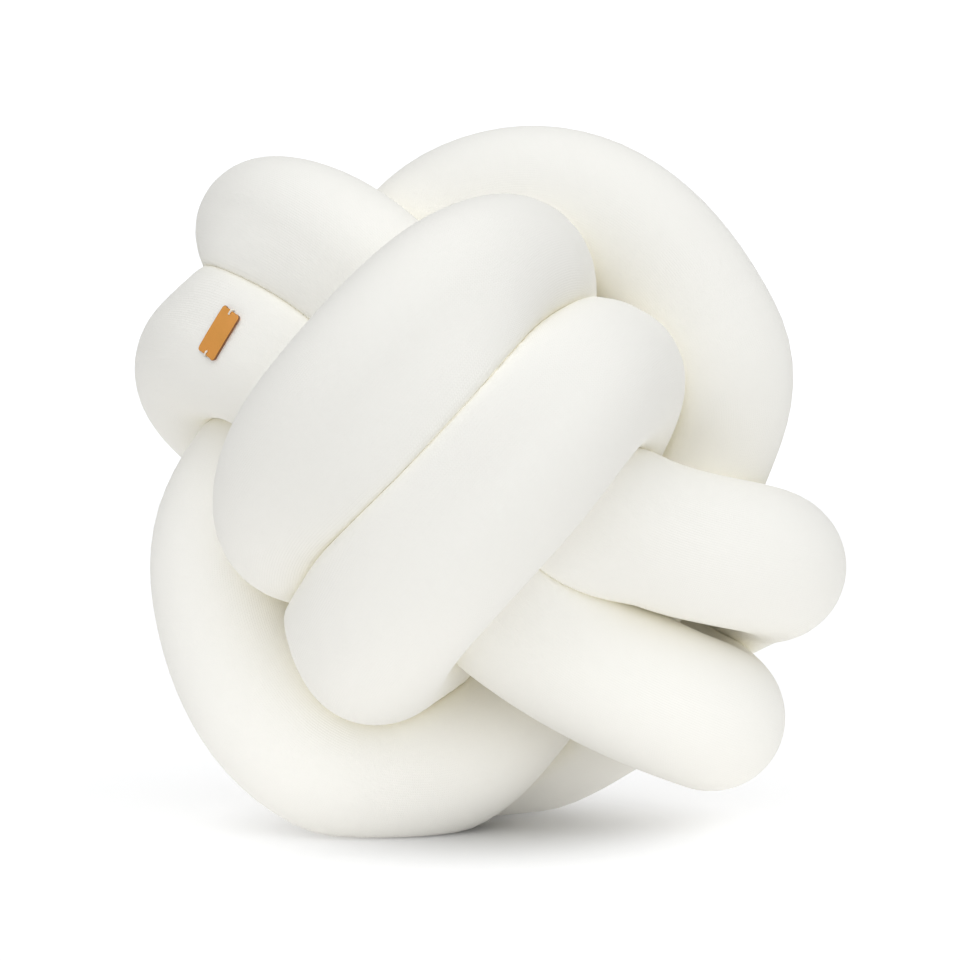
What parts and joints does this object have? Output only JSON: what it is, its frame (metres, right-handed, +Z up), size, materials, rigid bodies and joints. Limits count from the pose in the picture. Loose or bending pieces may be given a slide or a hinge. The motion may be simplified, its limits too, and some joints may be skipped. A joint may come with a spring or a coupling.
{
  "type": "knot cushion",
  "caption": "Round cushion made of a long filled cloth tube tied as a ball knot, with a small leather tab sewn to its side.",
  "frame": {"origin": "on the floor, below the middle of the cushion's box", "axes": "+X to the right and +Y to the back as the cushion is seen from the front, +Z up"},
  "size_m": [0.3684, 0.4126, 0.3541],
  "materials": {
    "jersey": "matte",
    "leather": "satin",
    "thread": "matte"
  },
  "bodies": {
    "root": {"knotted_tube": "jersey", "leather_tab": "leather", "tab_stitch_upper": "thread", "tab_stitch_lower": "thread"}
  },
  "joints": []
}
